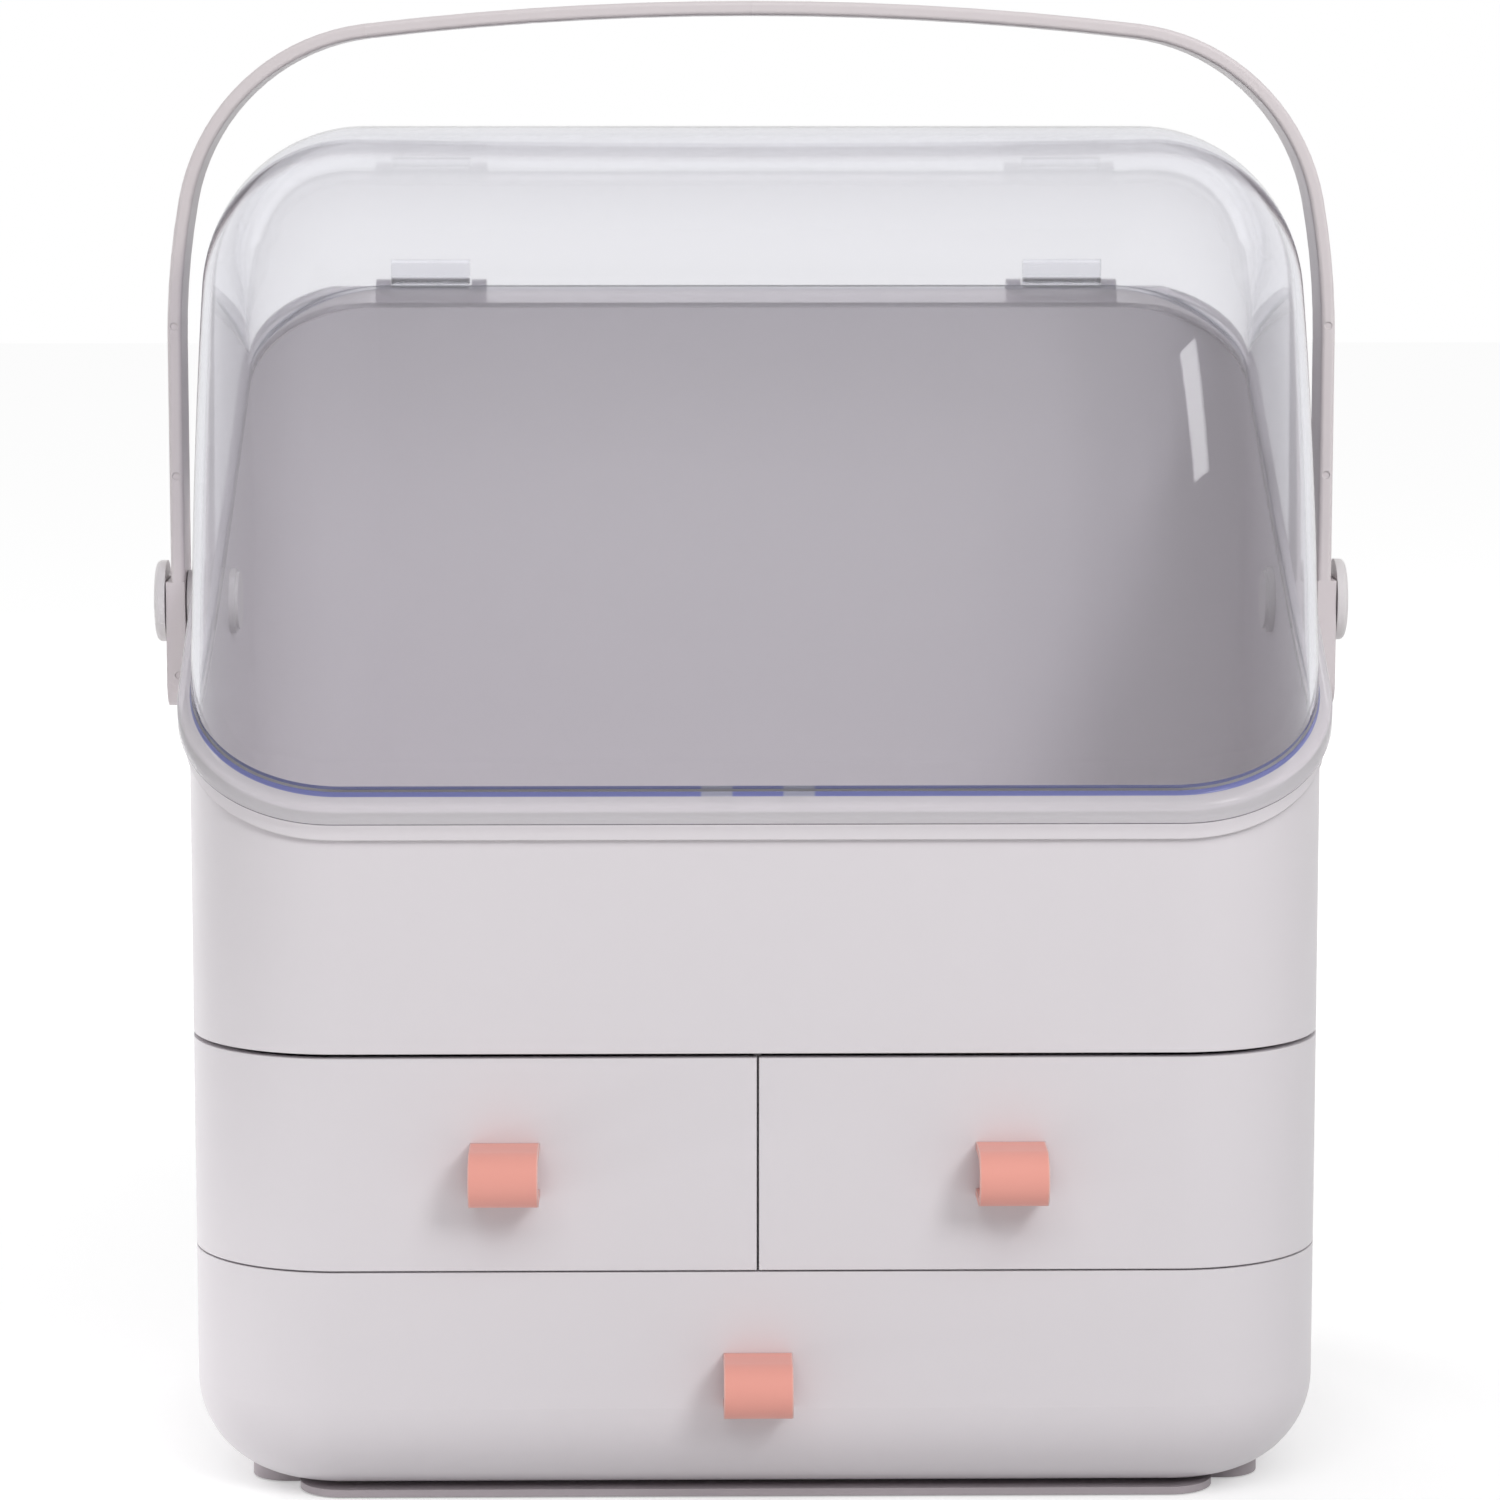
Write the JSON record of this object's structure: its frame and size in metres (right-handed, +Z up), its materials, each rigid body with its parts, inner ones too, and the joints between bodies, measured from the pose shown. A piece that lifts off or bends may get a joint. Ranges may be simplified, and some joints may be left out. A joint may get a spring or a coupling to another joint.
{
  "type": "makeup organizer",
  "caption": "Rounded table-top makeup organizer with a hinged clear dome cover, a swinging carry handle and small wrap-round drawers with soft loop pulls.",
  "frame": {"origin": "middle of the outline on the table, at the underside of the foot pads", "axes": "+Z up, +Y towards the hinged back, +X to the right seen from the drawer side"},
  "size_m": [0.327, 0.2425, 0.39],
  "materials": {
    "shell": "smooth satin",
    "clear": "clear polished",
    "pull": "soft matte",
    "pad": "matte",
    "metal": "fine brushed"
  },
  "bodies": {
    "cabinet": {"foot_pads": "pad", "foot_ring": "shell", "cabinet_shell": "shell", "cabinet_shelf": "shell", "cabinet_partition": "shell", "glide_strips": "shell", "upper_tub": "shell", "tub_ledge": "shell", "tub_screws": "metal", "hinge_ears": "shell", "hinge_pins": "metal", "pivot_pins": "shell", "pivot_washers": "shell", "pivot_caps": "shell"},
    "cover": {"cover_rim": "clear", "cover_dome": "clear", "cover_snaps": "clear"},
    "handle": {"handle_bow": "shell"},
    "left_drawer": {"left_tray": "shell", "left_front": "shell", "left_pull": "pull"},
    "right_drawer": {"right_tray": "shell", "right_front": "shell", "right_pull": "pull"},
    "bottom_drawer": {"bottom_tray": "shell", "bottom_front": "shell", "bottom_pull": "pull"}
  },
  "joints": [
    {"name": "cover_hinge", "type": "hinge", "parent": "cabinet", "child": "cover", "pos_m": [0, 0.11675, 0.30704], "axis": [-1, 0, 0], "range_deg": [0, 53.5]},
    {"name": "handle_swing", "type": "hinge", "parent": "cabinet", "child": "handle", "pos_m": [0, 0.00875, 0.2268], "axis": [-1, 0, 0], "range_deg": [0, 128.4]},
    {"name": "left_slide", "type": "slide", "parent": "cabinet", "child": "left_drawer", "axis": [0, -1, 0], "range_m": [0, 0.13]},
    {"name": "right_slide", "type": "slide", "parent": "cabinet", "child": "right_drawer", "axis": [0, -1, 0], "range_m": [0, 0.13]},
    {"name": "bottom_slide", "type": "slide", "parent": "cabinet", "child": "bottom_drawer", "axis": [0, -1, 0], "range_m": [0, 0.13]}
  ],
  "couplings": [
    {"joint": "handle_swing", "follows": "cover_hinge", "ratio": 2.4}
  ]
}
